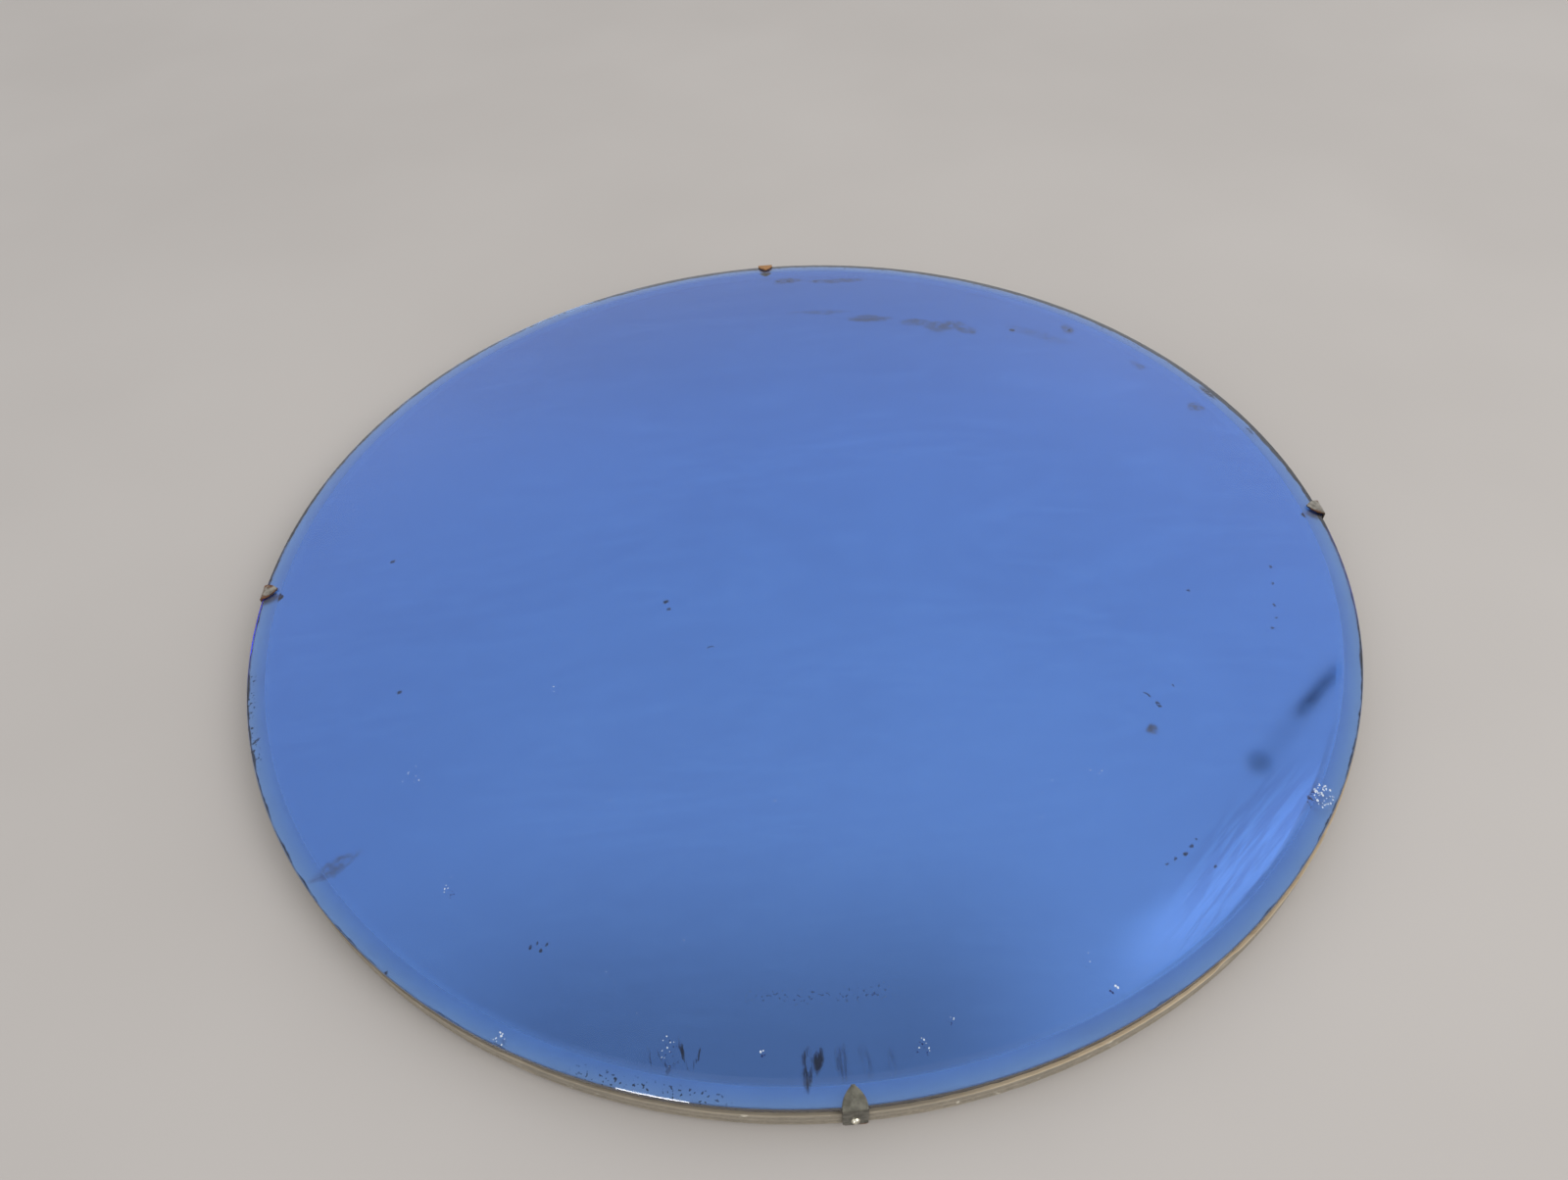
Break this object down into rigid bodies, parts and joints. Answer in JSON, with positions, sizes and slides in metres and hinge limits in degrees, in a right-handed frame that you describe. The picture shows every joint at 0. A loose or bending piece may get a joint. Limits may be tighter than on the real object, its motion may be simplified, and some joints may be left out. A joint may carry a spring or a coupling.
{
  "type": "convex wall mirror",
  "caption": "Round convex wall mirror: bevelled blue glass on a plywood backing board, held at its edge by nailed metal clips, with hanging rings behind.",
  "frame": {"origin": "under the middle of the backing board, on the plane of the bumper feet", "axes": "+Z the way the mirror faces, +Y its top when it hangs, +X to the right seen from the front; the clips are on +X, +Y, -X and -Y"},
  "size_m": [0.6048, 0.6048, 0.0432],
  "materials": {
    "blue_glass": "polished",
    "silvering": "polished",
    "backing_paint": "matte",
    "felt": "matte",
    "plywood": "matte",
    "clip_metal": "satin",
    "nail_brass": "satin",
    "rubber": "matte",
    "screw_steel": "satin",
    "hanger_steel": "satin",
    "ring_steel": "satin"
  },
  "bodies": {
    "mirror": {"mirror_glass": "blue_glass", "silver_coat": "silvering", "backing_paint": "backing_paint", "felt_seat_ring": "felt", "backing_board": "plywood", "clip_top": "clip_metal", "clip_right": "clip_metal", "clip_bottom": "clip_metal", "clip_left": "clip_metal", "clip_nail_top": "nail_brass", "clip_nail_right": "nail_brass", "clip_nail_bottom": "nail_brass", "clip_nail_left": "nail_brass", "bumper_upper_right": "rubber", "bumper_upper_left": "rubber", "bumper_lower_left": "rubber", "bumper_lower_right": "rubber", "bumper_screw_upper_right": "screw_steel", "bumper_screw_upper_left": "screw_steel", "bumper_screw_lower_left": "screw_steel", "bumper_screw_lower_right": "screw_steel", "hanger_strap_left": "hanger_steel", "hanger_screw_left_upper": "screw_steel", "hanger_screw_left_lower": "screw_steel", "hanger_strap_right": "hanger_steel", "hanger_screw_right_upper": "screw_steel", "hanger_screw_right_lower": "screw_steel"},
    "ring_left": {"hanging_ring_left": "ring_steel"},
    "ring_right": {"hanging_ring_right": "ring_steel"}
  },
  "joints": [
    {"name": "ring_left_swing", "type": "hinge", "parent": "mirror", "child": "ring_left", "pos_m": [-0.15, 0.115, 0.00224], "axis": [-1, 0, 0], "range_deg": [0, 165]},
    {"name": "ring_right_swing", "type": "hinge", "parent": "mirror", "child": "ring_right", "pos_m": [0.15, 0.115, 0.00224], "axis": [-1, 0, 0], "range_deg": [0, 165]}
  ]
}
